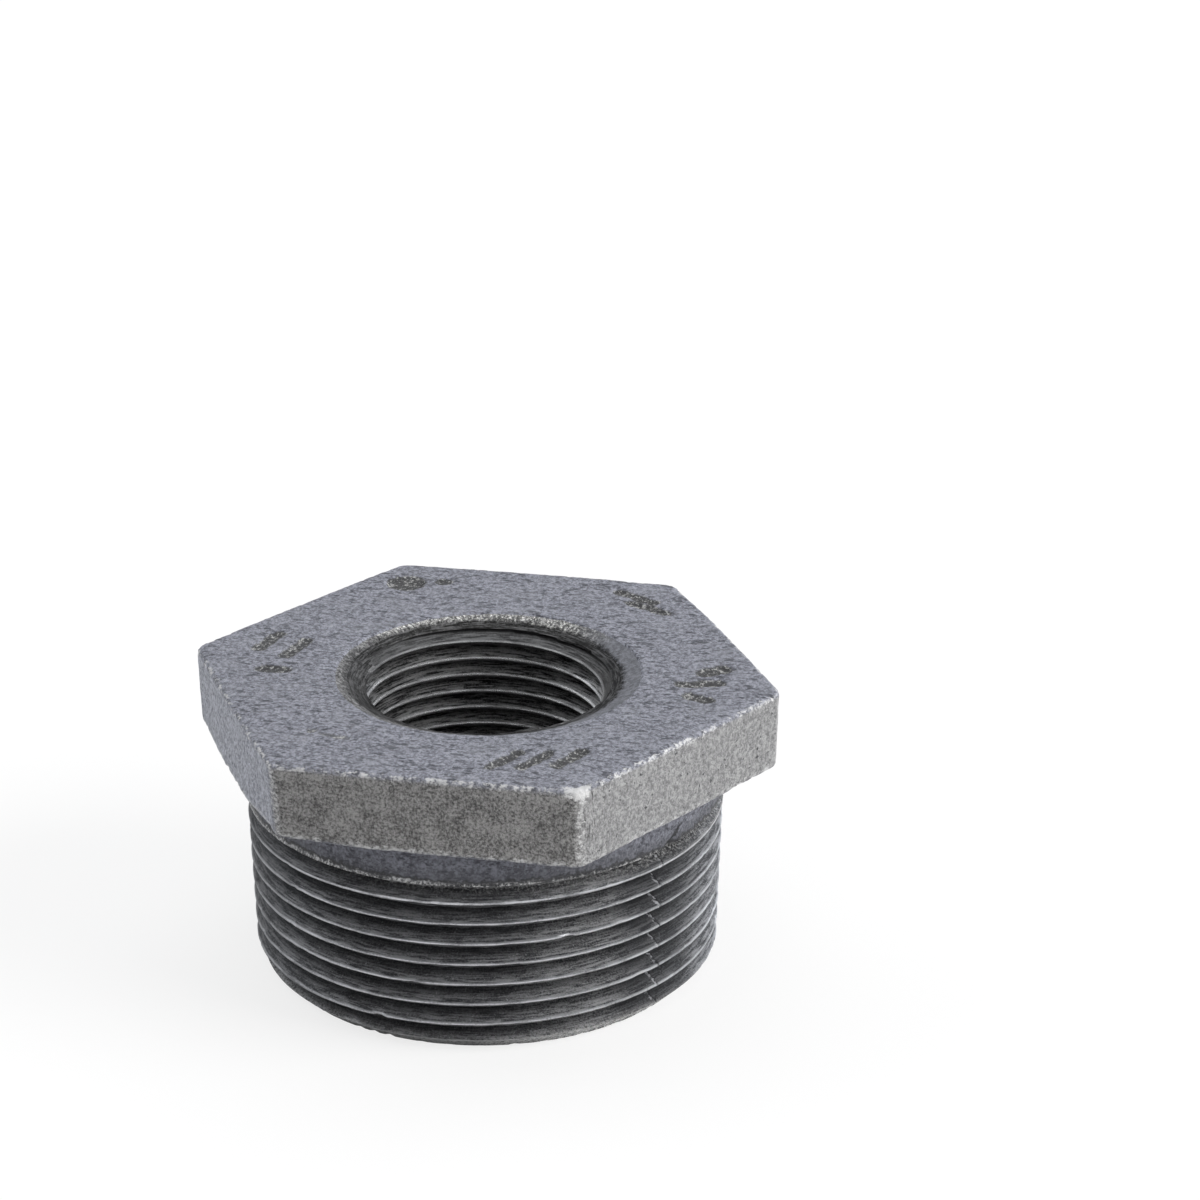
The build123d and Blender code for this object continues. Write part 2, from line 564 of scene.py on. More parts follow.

# %% [markdown]
# One corner at the front right has taken a knock, and four upright edges are rubbed. Both
# are marked as bare metal, which is worn and is also a painted highlight. Masks by azimuth
# place them, as a modeller would paint them with a brush.

# %% Knocked corner and rubbed edges, with painted highlights
KNOCKED_CORNER = -60
RUBBED_AND_HIGHLIT_EDGES = (-60, -120, 0, 180)
knocked_and_highlit_corner = around(azimuth, KNOCKED_CORNER, 5) * on_head * soft(z, TOP - 1.5 * MM, TOP - 0.6 * MM)
knocked_and_highlit_corner = knocked_and_highlit_corner * soft(flat_reach, HALF_FLATS - 1.4 * MM, HALF_FLATS - 0.5 * MM)
inwards += 0.14 * knocked_and_highlit_corner
rubbed_and_highlit_edges = sum(around(azimuth, edge, 2.6) for edge in RUBBED_AND_HIGHLIT_EDGES) * at_flats
worn_and_highlit = np.max([worn_and_highlit, 1.3 * knocked_and_highlit_corner, 0.6 * rubbed_and_highlit_edges], axis=0)
print("vertices worn at least half bare", int((worn_and_highlit > 0.5).sum()))

# %% [markdown]
# Raised or sunken marks are usual on a cast head. These are plain bars and dots, pressed
# into the face, and they spell nothing. A bar is all places near a short line, so the
# distance to that line gives it round ends.

# %% Sunken marks on the head face
MARKS = (
    # centre x, centre y, half length, half width, turned by, depth
    (-13.2, 20.8, 0.1, 1.90, 0, 0.30),
    (-9.4, 21.9, 0.1, 0.80, 0, 0.25),
    (11.5, 21.6, 2.3, 0.60, -28, 0.30),
    (13.2, 18.9, 2.3, 0.60, -28, 0.30),
    (22.6, 3.9, 1.0, 0.90, 40, 0.30),
    (21.8, 0.6, 1.8, 0.70, 15, 0.32),
    (22.2, -2.9, 1.0, 0.75, -20, 0.30),
    (6.6, -20.4, 2.0, 0.55, 62, 0.30),
    (9.4, -20.0, 2.0, 0.55, 62, 0.32),
    (12.6, -19.0, 2.0, 0.60, 62, 0.32),
    (-10.6, -18.4, 1.4, 0.45, -15, 0.12),
    (-13.0, -17.6, 0.1, 0.55, 0, 0.12),
    (-23.2, 2.8, 2.1, 0.65, 75, 0.26),
    (-20.0, 1.6, 2.1, 0.65, 75, 0.28),
    (-20.8, -4.0, 1.0, 0.80, 10, 0.26),
)
MARK_EDGE = 0.35
MARK_GAIN = 1.3
FULL_SHADE_DEPTH = 0.3
sunken = np.zeros(len(places))
for centre_x, centre_y, half_length, half_width, turned_by, depth in MARKS:
    turn = radians(turned_by)
    right = x / MM - centre_x
    back = y / MM - centre_y
    along = right * cos(turn) + back * sin(turn)
    across = back * cos(turn) - right * sin(turn)
    distance = np.hypot(np.maximum(np.abs(along) - half_length, 0), across) + 0.22 * ragged
    inside = on_face * soft(distance, half_width + MARK_EDGE, half_width - MARK_EDGE)
    # The deeper a mark, the more painted shade it gets in the materials.
    sunken = np.maximum(sunken, inside * depth / FULL_SHADE_DEPTH)
    inwards += inside * MARK_GAIN * depth
print("marks", len(MARKS), "vertices in them", int((sunken > 0.5).sum()))

# %% [markdown]
# The threads are machined, so they get no lumps. The die tears their crests a little, and
# handling leaves a few nicks. Each nick is a place by azimuth and height with a size. The
# foot of the thread, where it is started by hand, is bruised all round.

# %% Torn crests and nicks
NICKS = (
    # azimuth, height, half width in degrees, half height, depth
    (-29, 18.6, 3.0, 0.8, 0.50),
    (-113, 1.5, 4.0, 0.9, 0.55),
    (-104, 3.4, 2.5, 0.6, 0.30),
    (-58, 12.1, 2.5, 0.6, 0.25),
    (-95, 7.8, 2.0, 0.6, 0.20),
    (-38, 5.6, 3.0, 0.6, 0.10),
    (20, 9.9, 3.5, 0.8, 0.35),
    (115, 14.6, 3.0, 0.8, 0.35),
    (170, 5.4, 4.0, 0.9, 0.45),
)
male_reach = (radius - (MALE_PITCH_RADIUS + z * TAPER)) / MALE_PITCH
on_crest = on_male * soft(male_reach, 0.1, CREST_SHARE)
torn = soft(lumps(places, 1.3, 21) + 0.6 * lumps(places, 0.7, 23), 0.1, 0.9)
inwards += on_crest * (0.01 + 0.09 * torn)
nicked = np.zeros(len(places))
for middle, height, half_width, half_height, depth in NICKS:
    nick = around(azimuth, middle, half_width) * soft(np.abs(z / MM - height), half_height * 1.6, 0.2)
    nick *= on_male * soft(male_reach, 0.0, CREST_SHARE)
    inwards += nick * depth
    nicked = np.maximum(nicked, nick)
foot = on_male * soft(z, 1.6 * MM, 0.2 * MM) * soft(radius, 20.5 * MM, 21.7 * MM)
inwards += foot * 0.16 * soft(ragged, 0.1, 0.8)
print("vertices in nicks", int((nicked > 0.3).sum()))

# %% [markdown]
# The countersink is left rough. The drill that opened it tore the skin and ran a little
# off the axis. All the moves so far are made here, along the normals, and then the mouth
# is shifted sideways with a fade on both sides of its edge.

# %% Rough countersink and the move itself
RUN_OFF = 0.55 * MM
torn_cone = 0.05 + 0.09 * (1 + lumps(places, 0.9, 31)) + 0.06 * (1 + lumps(places, 0.45, 33))
inwards += in_mouth * torn_cone
places -= normals * (inwards * MM)[:, None]
near_mouth = soft(radius, 12.0 * MM, MOUTH_RADIUS) * soft(radius, 19.0 * MM, MOUTH_RADIUS)
off_axis = (in_mouth | on_face) * near_mouth
places[:, 0] += RUN_OFF * off_axis
places[:, 1] -= RUN_OFF * off_axis
print("deepest move", round(inwards.max(), 2), "mm, mouth off the axis by", RUN_OFF / MM, "mm each way")

# %% [markdown]
# No two corners of a cast hexagon are alike. Each is set back by its own amount at the top
# and at the bottom, which fades out along the flats. Last, nothing may stand below the
# thread's end or above the head face.

# %% Corners that differ
CORNER_WEAR = (
    # azimuth, setback at the top, setback at the bottom
    (-120, 0.15, 1.0),
    (-60, 0.1, 0.0),
    (0, 0.1, 0.3),
    (60, 0.4, 0.4),
    (120, 0.1, 0.2),
    (180, 0.05, 0.3),
)
CORNER_SPREAD = 22
down = (TOP - z) / HEAD
setback = np.zeros(len(places))
for corner, at_top, at_bottom in CORNER_WEAR:
    setback += around(azimuth, corner, CORNER_SPREAD) * (at_top + (at_bottom - at_top) * down)
setback *= on_head * soft(flat_reach, 23 * MM, 26 * MM)
places[:, :2] *= (1 - setback * MM / radius)[:, None]
places[:, 2] = np.clip(places[:, 2], 0, TOP)
write_places(casting, places)
print("largest setback", round(setback.max(), 2), "mm")

# %% [markdown]
# A colour attribute on the vertices carries three masks to the materials: red for bare
# metal with its painted highlight, green for the painted shade in the marks and blue for
# nicks and the bruised foot. Painting them as an image would need a UV map, and an
# attribute needs none.

# %% Keep wear and depth as an attribute
wear = casting.data.attributes.new("wear", "FLOAT_COLOR", "POINT")
flags = np.ones((len(places), 4))
flags[:, 0] = np.clip(worn_and_highlit, 0, 1)
flags[:, 1] = np.clip(sunken, 0, 1)
flags[:, 2] = np.clip(nicked + foot * soft(ragged, 0.0, 0.7), 0, 1)
wear.data.foreach_set("color", flags.ravel())
print("attribute on", len(flags), "vertices")

# %% [markdown]
# ## Finishes
# The same iron looks different wherever it was worked: grey and grainy where sand shaped
# it, dark and streaked where a die cut it, rough and sparkling in the countersink. Each
# finish is one material made of nodes. Node trees are hard to read as calls, so a socket
# is wrapped in a small class whose operators add the Math nodes, and one method adds
# every other node.


# %% Shader maths
class Sock:
    """A node's output, with Python's operators as Math nodes."""

    def __init__(self, wiring, socket):
        self.wiring = wiring
        self.socket = socket

    def math(self, operation, first, second):
        return self.wiring.node("Math", {"operation": operation}, {0: first, 1: second})

    def __add__(self, other):
        return self.math("ADD", self, other)

    def __radd__(self, other):
        return self.math("ADD", other, self)

    def __sub__(self, other):
        return self.math("SUBTRACT", self, other)

    def __rsub__(self, other):
        return self.math("SUBTRACT", other, self)

    def __mul__(self, other):
        return self.math("MULTIPLY", self, other)

    def __rmul__(self, other):
        return self.math("MULTIPLY", other, self)


class Wiring:
    """A node tree, and the one method that adds a node to it."""

    def __init__(self, tree):
        self.tree = tree

    def node(self, kind, settings=None, values=None, output=0):
        """Adds a node, sets it, feeds its sockets with values or links, and gives an output."""
        made = self.tree.nodes.new("ShaderNode" + kind)
        for name, value in (settings or {}).items():
            setattr(made, name, value)
        for name, value in (values or {}).items():
            self.feed(made.inputs[name], value)
        return Sock(self, made.outputs[output])

    def feed(self, socket, value):
        """Links a wrapped output to a socket, or sets the socket to a plain value."""
        if isinstance(value, Sock):
            self.tree.links.new(value.socket, socket)
        else:
            socket.default_value = value


print("operators", [name for name in vars(Sock) if name.endswith(("add__", "sub__", "mul__"))])

# %% [markdown]
# A bench is where one finish is made. It holds the material and the place on the casting
# in millimetres, so that every pattern below is given in real sizes. Patterns read Object
# coordinates, which stay fixed on the piece. Its methods are the few tools that all
# finishes share: soft steps, bands, noise, streaks round the axis, blends and bumps.


# %% Bench for one finish
class Bench(Wiring):
    """The material of one finish, with the places on the casting in millimetres."""

    def __init__(self, name):
        self.material = bpy.data.materials.new(name)
        self.material.use_nodes = True
        super().__init__(self.material.node_tree)
        self.shader = self.tree.nodes["Principled BSDF"]
        metres = self.node("TexCoord", output="Object")
        self.place = self.node("VectorMath", {"operation": "SCALE"}, {0: metres, "Scale": 1 / MM})
        parts = self.node("SeparateXYZ", {}, {0: self.place})
        self.x, self.y, self.z = (Sock(self, parts.socket.node.outputs[i]) for i in range(3))

    def azimuth(self):
        """The angle round the axis, in radians from the X axis."""
        return self.node("Math", {"operation": "ARCTAN2"}, {0: self.y, 1: self.x})

    def radial(self):
        """The distance to the axis."""
        return self.node("Math", {"operation": "SQRT"}, {0: self.x * self.x + self.y * self.y})

    def wear_masks(self):
        """How bare and highlit, how shaded in the marks and how scarred, from the wear attribute."""
        attribute = self.node("Attribute", {"attribute_name": "wear"})
        parts = self.node("SeparateColor", {}, {0: attribute})
        return [Sock(self, parts.socket.node.outputs[i]) for i in range(3)]

    def step(self, value, low, high):
        """Rises smoothly from 0 at low to 1 at high, also where low is the larger."""
        ends = {"Value": value, "From Min": low, "From Max": high}
        return self.node("MapRange", {"interpolation_type": "SMOOTHSTEP"}, ends)

    def band(self, value, start, full, fade, end):
        """1 between full and fade, and 0 before the start and past the end."""
        return self.step(value, start, full) * self.step(value, end, fade)

    def sector(self, *degrees):
        """A band round the axis, with its four ends in degrees."""
        return self.band(self.azimuth(), *(radians(angle) for angle in degrees))

    def cloud(self, size, detail=3.0, stretch=(1.0, 1.0, 1.0), shift=0.0, rough=0.55):
        """Noise from 0 to 1 with lumps of a size in millimetres, drawn out by stretch."""
        scale = tuple(1 / (size * s) for s in stretch)
        values = {0: self.place, 1: scale, 2: (shift,) * 3}
        place = self.node("VectorMath", {"operation": "MULTIPLY_ADD"}, values)
        values = {"Vector": place, "Scale": 1.0, "Detail": detail, "Roughness": rough}
        return self.node("TexNoise", {}, values)

    def rings(self, fineness, detail=3.0, shift=0.0):
        """Streaks round the axis, so many to a millimetre outwards and upwards."""
        slow = 0.45
        values = {0: self.x * slow + shift, 1: self.y * slow, 2: self.z * fineness}
        place = self.node("CombineXYZ", {}, values)
        outwards = self.radial() * fineness
        values = {"Vector": place, "W": outwards, "Scale": 1.0, "Detail": detail, "Roughness": 0.6}
        return self.node("TexNoise", {"noise_dimensions": "4D"}, values)

    def blend(self, share, first, second):
        """The first colour where the share is 0 and the second where it is 1."""
        colours = [c if isinstance(c, Sock) else (*c, 1.0) for c in (first, second)]
        values = {0: share, 6: colours[0], 7: colours[1]}
        return self.node("Mix", {"data_type": "RGBA"}, values, output=2)

    def bump(self, height, distance):
        """Bumps where the height goes from 0 to 1 over a distance in millimetres."""
        return self.node("Bump", {}, {"Height": height, "Distance": distance * MM, "Strength": 1.0})

    def finish(self, **values):
        """Feeds the main shader, each socket by its name with _ for a space."""
        for name, value in values.items():
            self.feed(self.shader.inputs[name.replace("_", " ")], value)
        return self.material


print("tools of a bench", [name for name in vars(Bench) if not name.startswith("_")])

# %% [markdown]
# ### Cast skin
# Sand leaves a matt grain with specks and short dark streaks. The top face is bluish. On
# the flats light and shade are painted into the iron: the left flat is painted pale and
# bluish as lit, the front is painted darker as shaded and is mottled, and the right flat is
# painted lighter as lit and is dry with pits and cracks. One mix of noises could cover the
# whole head, but then all flats would look alike, so each has an iron of its own. The masks
# read only x, and the flats at the back take the iron of those in front of them.


# %% Irons of the flats, with painted light and shade
def shaded_front_iron(bench, mottle):
    """The iron of the front, painted dark as shade, finely mottled and scratched upright."""
    iron = bench.blend(bench.step(mottle, 0.39, 0.61), (0.075, 0.073, 0.073), (0.415, 0.41, 0.405))
    scratches = bench.cloud(0.2, 3.0, stretch=(0.8, 1.0, 2.6), shift=52.0)
    return bench.blend(bench.step(scratches, 0.56, 0.68) * 0.4, iron, (0.48, 0.48, 0.475))


def lit_left_iron(bench, tone, streaks):
    """The iron of the left, painted pale and bluish as lit, with dark streaks."""
    iron = bench.blend(tone, (0.22, 0.228, 0.262), (0.56, 0.575, 0.64))
    return bench.blend(bench.step(streaks, 0.55, 0.68) * 0.7, iron, (0.09, 0.093, 0.11))


def lit_right_iron(bench, tone, mottle):
    """The dry right iron, painted lighter as lit, with pits, and cracks near the front corner."""
    iron = bench.blend(tone, (0.19, 0.19, 0.195), (0.46, 0.46, 0.465))
    iron = bench.blend(bench.step(mottle, 0.45, 0.6) * 0.3, iron, (0.30, 0.30, 0.30))
    pits = bench.step(bench.cloud(0.5, 3.0, shift=14.0), 0.63, 0.70)
    iron = bench.blend(pits, iron, (0.07, 0.07, 0.075))
    cracks = bench.step(bench.cloud(0.35, 3.0, stretch=(0.6, 0.6, 2.4), shift=70.0), 0.58, 0.66)
    return bench.blend(cracks * bench.step(bench.x, 18.5, 15.5), iron, (0.09, 0.09, 0.09))


print("irons", shaded_front_iron.__name__, lit_left_iron.__name__, lit_right_iron.__name__)

# %% [markdown]
# At the front right a tool has gouged the collar where it meets the thread. The gouge
# crosses from the cast skin into the cut thread, so both materials call the same helper.
# It is a slanting line: the sideways distance to it is bent by noise, which roughens it.

# %% Gouge in the collar
# Black of soot for the gouge and the parting line, and of painted shade on the threads.
SOOT_AND_SHADE = (0.02, 0.02, 0.022)
GOUGE_AZIMUTH = radians(-28.5)
GOUGE_HEIGHT = 19.4
GOUGE_LEAN = 1.1
COLLAR_RADIUS = 24.0


def gouge(bench):
    """How much of the slanting gouge is at each place."""
    wobble = bench.cloud(0.4, 4.0, shift=60.0, rough=0.7) - 0.5
    sideways = (bench.azimuth() - GOUGE_AZIMUTH) * COLLAR_RADIUS
    aside = sideways - (bench.z - (GOUGE_HEIGHT - 0.1)) * GOUGE_LEAN + wobble * 1.6
    aside = bench.node("Math", {"operation": "ABSOLUTE"}, {0: aside})
    upwards = bench.node("Math", {"operation": "ABSOLUTE"}, {0: bench.z - GOUGE_HEIGHT})
    return bench.step(aside, 0.45, 0.12) * bench.step(upwards, 1.4, 0.9) * 0.9


print("gouge at height", GOUGE_HEIGHT, "mm and azimuth", round(GOUGE_AZIMUTH / radians(1), 1))

# %% [markdown]
# The colours go on in this order: the grey grain of the sand, the iron of each flat with
# its painted light and shade, a painted shade under the head, the oil that the die left on
# the collar and at last the gouge. The rounded corners between the flats lie near x = -15
# and x = 15, and there one iron blends into the next.


# %% Cast skin colours
def cast_colour(bench):
    """The colour of the sand-cast surface, with its grain's tone and its streaks."""
    grain = bench.cloud(0.55, 5.0, rough=0.7)
    specks = bench.cloud(0.26, 3.0, shift=4.0, rough=0.7)
    streaks = bench.cloud(0.5, 4.0, stretch=(2.0, 0.9, 0.8), shift=9.0, rough=0.6)
    patches = bench.cloud(3.5, 3.0, shift=2.0)
    mottle = bench.cloud(0.27, 5.0, shift=6.0, rough=0.8) * 0.78 + bench.cloud(1.6, 4.0, shift=16.0) * 0.22
    tone = bench.step(grain * 0.55 + specks * 0.45, 0.38, 0.62)
    skin = bench.blend(tone, (0.115, 0.119, 0.142), (0.372, 0.382, 0.44))
    skin = bench.blend(bench.step(streaks, 0.54, 0.63) * 0.85, skin, (0.055, 0.057, 0.07))
    skin = bench.blend(bench.step(patches, 0.45, 0.7) * 0.25, skin, (0.28, 0.29, 0.32))
    low_end = UNDERSIDE / MM
    high_end = TOP / MM
    side = bench.band(bench.z, low_end + 0.15, low_end + 0.5, high_end - 0.8, high_end - 0.3)
    # Painted light and shade on the flats: each flat takes its own iron, painted lighter where lit and
    # darker where shaded.
    skin = bench.blend(side * bench.step(bench.x, -15.5, -14.2), skin, shaded_front_iron(bench, mottle))
    skin = bench.blend(side * bench.step(bench.x, -14.6, -15.6), skin, lit_left_iron(bench, tone, streaks))
    skin = bench.blend(side * bench.step(bench.x, 14.4, 15.4), skin, lit_right_iron(bench, tone, mottle))
    # Painted shade under the head: the skin just below the underside is darkened.
    shade_under_head = bench.step(bench.z, low_end + 0.2, low_end - 0.6)
    skin = bench.blend(shade_under_head * 0.3, skin, (0.06, 0.06, 0.07))
    oily = bench.step(bench.z + (mottle - 0.5) * 3.0, THREAD_TOP / MM + 1.2, THREAD_TOP / MM - 0.4)
    outside = bench.step(bench.z, RECESS_DEPTH / MM + 1.0, RECESS_DEPTH / MM + 2.0)
    skin = bench.blend(oily * outside * 0.42, skin, (0.035, 0.035, 0.038))
    return bench.blend(gouge(bench), skin, SOOT_AND_SHADE), tone, streaks


bench = Bench("cast_skin")
colour, tone, streaks = cast_colour(bench)
print("nodes for the cast colour", len(bench.tree.nodes))

# %% [markdown]
# The rims and one corner are worn to bare metal, which is also a painted highlight, and
# the sunken marks get a painted shade with pale flecks. The masks of the wear attribute
# are smooth, so flecks of noise are added before the step, which breaks their edges up.
# The grain also goes into the bumps.

# %% Cast skin material
bare_and_highlit, mark_shade, _ = bench.wear_masks()
flecks = bench.cloud(0.26, 4.0, stretch=(1.5, 1.5, 1.0), shift=17.0, rough=0.7)
# Bare metal on the rims, the corner and the edges: worn, and also a painted highlight.
bare_and_highlit = bench.step(bare_and_highlit + (flecks - 0.5) * 2.2, 0.40, 0.85)
colour = bench.blend(bare_and_highlit * 0.9, colour, (0.66, 0.66, 0.665))
# Painted shade in the sunken marks, broken by pale flecks.
mark_shade = bench.step(mark_shade + (flecks - 0.5) * 0.5, 0.10, 0.5)
mark_shade_tone = bench.blend(bench.step(flecks, 0.50, 0.66), (0.045, 0.045, 0.045), (0.50, 0.50, 0.49))
colour = bench.blend(mark_shade * 0.9, colour, mark_shade_tone)
height = tone * 0.6 + bench.cloud(0.16, 3.0, shift=21.0) * 0.5 - bench.step(streaks, 0.56, 0.7) * 0.4
cast_skin_material = bench.finish(
    Base_Color=colour,
    Metallic=0.35,
    Roughness=0.72 - bare_and_highlit * 0.3 - tone * 0.08,
    Normal=bench.bump(height, 0.07),
)
print("nodes in cast_skin", len(bench.tree.nodes))

# %% [markdown]
# ### Cut threads
# The die leaves dark oily iron with fine streaks along the cut. The crests are rubbed to
# thin bright lines, which are also a painted highlight. Above each line the flank gets a
# painted highlight that turns into painted shade towards the root, and below the line a
# painted shade makes it black at once. A thread can't be coloured by height, because it
# climbs. How far it has climbed at an azimuth is taken off the height, and the fraction of
# a pitch that is left tells how far above a crest each place is.

# %% Thread colours
# Pale colour of painted glints and highlights, and black of painted shade, on the threads.
PAINTED_SHINE = (0.5, 0.505, 0.52)
PAINTED_SHADE_BLACK = (0.015, 0.015, 0.017)


def thread_finish(name, pitch, foot, angle, tones, streaky):
    """Streaked dark iron for a thread: bench, colour, tone, worn and highlit crest lines and relief."""
    bench = Bench(name)
    climbed = (bench.z - foot / MM) * (MM / pitch) - (bench.azimuth() - radians(angle)) * (1 / tau)
    above = (bench.node("Math", {"operation": "FRACT"}, {0: climbed}) - 0.5) * (pitch / MM)
    lathe = bench.rings(5.0)
    grain = bench.cloud(0.18, 4.0, shift=8.0, rough=0.75)
    patches = bench.cloud(2.6, 3.0, stretch=(1.5, 1.5, 0.7), shift=12.0)
    tone = bench.step(lathe * streaky + grain * (0.9 - streaky) + patches * 0.12, 0.42, 0.62)
    colour = bench.blend(tone, *tones)
    # Painted glints: pale specks on the flanks.
    painted_glints = bench.step(bench.cloud(0.2, 2.0, shift=30.0), 0.62, 0.70)
    colour = bench.blend(painted_glints * 0.5, colour, PAINTED_SHINE)
    # Painted shade: the downward flank just below each crest line is black.
    colour = bench.blend(bench.step(above, 0.02, -0.06) * 0.95, colour, PAINTED_SHADE_BLACK)
    # Painted shade: the flank darkens towards the root, under the crest above.
    colour = bench.blend(bench.step(above, 0.45, 1.0) * 0.55, colour, SOOT_AND_SHADE)
    # Painted highlight: the flank brightens towards the crest line, along the streaks.
    glow = bench.step(above, 0.9, 0.1) * bench.step(lathe, 0.42, 0.62)
    colour = bench.blend(glow * 0.42, colour, PAINTED_SHINE)
    # The crest lines are rubbed metal and also a painted highlight; this makes them patchy.
    rubbed_and_lit = 0.35 + 0.65 * bench.step(patches * 0.5 + grain * 0.5, 0.38, 0.60)
    bright = bench.step(above, -0.05, 0.02) * bench.step(above + (grain - 0.5) * 0.12, 0.23, 0.13)
    relief = bench.bump(lathe * 0.7 + grain * 0.6, 0.035)
    return bench, colour, tone, bright * rubbed_and_lit, relief


DIE_CUT_TONES = ((0.045, 0.046, 0.05), (0.225, 0.228, 0.238))
bench, colour, tone, bright, relief = thread_finish(
    "die_cut_thread", MALE_PITCH, FULL_TOP, RUN_OUT_ANGLE, DIE_CUT_TONES, 0.42
)
print("nodes for the thread's colour", len(bench.tree.nodes))

# %% [markdown]
# The male thread is painted uneven round the axis: painted shade makes it darkest at the
# far left and on a stretch at the right, and a painted highlight makes it paler between
# the two. Each is a mask on the place and not a light, so the thread keeps them from all
# sides.

# %% Painted shade and painted highlight round the male thread
DARKENED = 0.55
HIGHLIGHT_SHARE = 0.3
# Painted shade at the far left.
shaded_far_left = bench.step(bench.x, -9.0, -20.0)
colour = bench.blend(shaded_far_left * DARKENED, colour, (0.028, 0.029, 0.034))
# Painted shade on a stretch at the right.
shaded_right_turn = bench.sector(-50, -36, -25, -12)
colour = bench.blend(shaded_right_turn * DARKENED, colour, (0.035, 0.036, 0.04))
# Painted highlight on a band between the two.
highlit_side = bench.sector(-76, -60, -50, -38)
colour = bench.blend(highlit_side * tone * HIGHLIGHT_SHARE, colour, (0.52, 0.525, 0.53))
print("nodes with the darkened and rubbed sides", len(bench.tree.nodes))

# %% [markdown]
# The turn under the head is the one that the die only half cut, and it is torn into pale
# and dark flecks. So is the foot, most of all at the front right. Over both the bright
# crest line fades, because there is no whole crest left to rub.

# %% Torn turn and torn foot
LAST_TURN = FULL_TOP / MM
FOOT_TOP = 2.0
flecks = bench.cloud(0.28, 5.0, shift=17.0, rough=0.8)
fleck_tone = bench.blend(bench.step(flecks, 0.47, 0.58), (0.03, 0.03, 0.032), (0.56, 0.56, 0.56))
torn_turn = bench.step(bench.z + (flecks - 0.5) * 2.0, LAST_TURN - 0.2, LAST_TURN + 1.0)
colour = bench.blend(torn_turn * 0.8, colour, fleck_tone)
torn_foot = bench.step(bench.z + (flecks - 0.5) * 1.5, FOOT_TOP, FOOT_TOP - 0.8)
torn_foot = torn_foot * (0.3 + 0.6 * bench.step(bench.azimuth(), radians(-85), radians(-50)))
foot_tone = bench.blend(bench.step(flecks, 0.42, 0.56), (0.05, 0.05, 0.052), (0.8, 0.8, 0.8))
colour = bench.blend(torn_foot, colour, foot_tone)
faded = bench.step(bench.z, LAST_TURN + 0.8, LAST_TURN + 1.3) * 0.85
# Crest lines: rubbed metal and also a painted highlight, dimmed in the painted shade at the far left.
worn_and_highlit_crest = bright * (1 - torn_foot) * (1 - faded) * (1 - shaded_far_left * 0.5)
colour = bench.blend(worn_and_highlit_crest, colour, (0.60, 0.61, 0.64))
print("torn turn from", round(LAST_TURN, 2), "mm up, torn foot up to", FOOT_TOP, "mm")

# %% [markdown]
# The two halves of a sand mould meet along a parting line. The die shaves it off the
# crests but a trace stays on each turn: a short pale tick with a dark one beside it. The
# line's azimuth is bent by noise, and a second noise leaves it out here and there.

# %% Parting line across the thread
PARTING_AZIMUTH = radians(-32.3)
wander = (bench.cloud(0.5, 4.0, shift=40.0, rough=0.7) - 0.5) * 0.05
seam_place = bench.azimuth() - PARTING_AZIMUTH + wander
unbroken = bench.step(bench.cloud(0.45, 3.0, shift=44.0), 0.40, 0.58)
seam_light = bench.band(seam_place, -0.013, -0.005, -0.001, 0.003)
seam_dark = bench.band(seam_place, -0.002, 0.003, 0.006, 0.014)
colour = bench.blend(seam_light * unbroken * 0.75, colour, (0.62, 0.63, 0.66))
colour = bench.blend(seam_dark * (0.9 - unbroken * 0.5), colour, SOOT_AND_SHADE)
print("parting line at azimuth", round(PARTING_AZIMUTH / radians(1), 1))

# %% [markdown]
# Nicks show paler iron. Where the die stopped, the cast skin begins with a ragged dark
# edge. The border runs across faces of both materials, so the thread's own material turns
# into the cast skin above it, and the change never follows the mesh.

# %% Nicks and the edge of the cut
scar = bench.step(bench.wear_masks()[2] + (flecks - 0.5) * 1.4, 0.5, 0.95)
colour = bench.blend(scar * 0.6, colour, (0.45, 0.45, 0.46))
edge_noise = bench.cloud(0.8, 5.0, shift=25.0, rough=0.7)
past_cut = bench.z - THREAD_TOP / MM + (edge_noise - 0.5) * 1.6
uncut = bench.step(past_cut, -0.62, -0.40)
cut_edge = bench.band(past_cut, -0.95, -0.60, -0.48, -0.25)
colour = bench.blend(uncut, colour, cast_colour(bench)[0])
colour = bench.blend(cut_edge * 0.85, colour, (0.03, 0.03, 0.033))
colour = bench.blend(gouge(bench), colour, SOOT_AND_SHADE)
die_cut_thread = bench.finish(
    Base_Color=colour,
    Metallic=0.7 - uncut * 0.35,
    Roughness=0.50 - tone * 0.06 - bright * 0.12 + uncut * 0.2,
    Normal=relief,
)
print("nodes in die_cut_thread", len(bench.tree.nodes))

# %% [markdown]
# The tap leaves brighter crests and blacker flanks than the die, so the same helper gets
# tones that lie further apart and stronger streaks. The crest lines are rubbed metal and
# also a painted highlight. The first turn below the countersink gets a painted shade, and
# its crest line is dimmed, because the countersink has cut its crest away.

# %% Female thread material
TAPPED_TONES = ((0.012, 0.012, 0.013), (0.56, 0.562, 0.57))
bench, colour, tone, bright, relief = thread_finish(
    "tapped_thread", FEMALE_PITCH, female_start, FEMALE_ANGLE, TAPPED_TONES, 0.6
)
# Painted shade on the first turn below the countersink.
shaded_first_turn = bench.step(bench.z, TOP / MM - 3.2, TOP / MM - 2.4)
colour = bench.blend(shaded_first_turn * 0.8, colour, (0.03, 0.03, 0.031))
# Crest lines of the bore: rubbed metal and also a painted highlight.
colour = bench.blend(bright * (1 - shaded_first_turn * 0.75), colour, (0.85, 0.86, 0.88))
tapped_thread = bench.finish(
    Base_Color=colour, Metallic=0.8, Roughness=0.38 - tone * 0.1 - bright * 0.1, Normal=relief
)
print("nodes in tapped_thread", len(bench.tree.nodes))

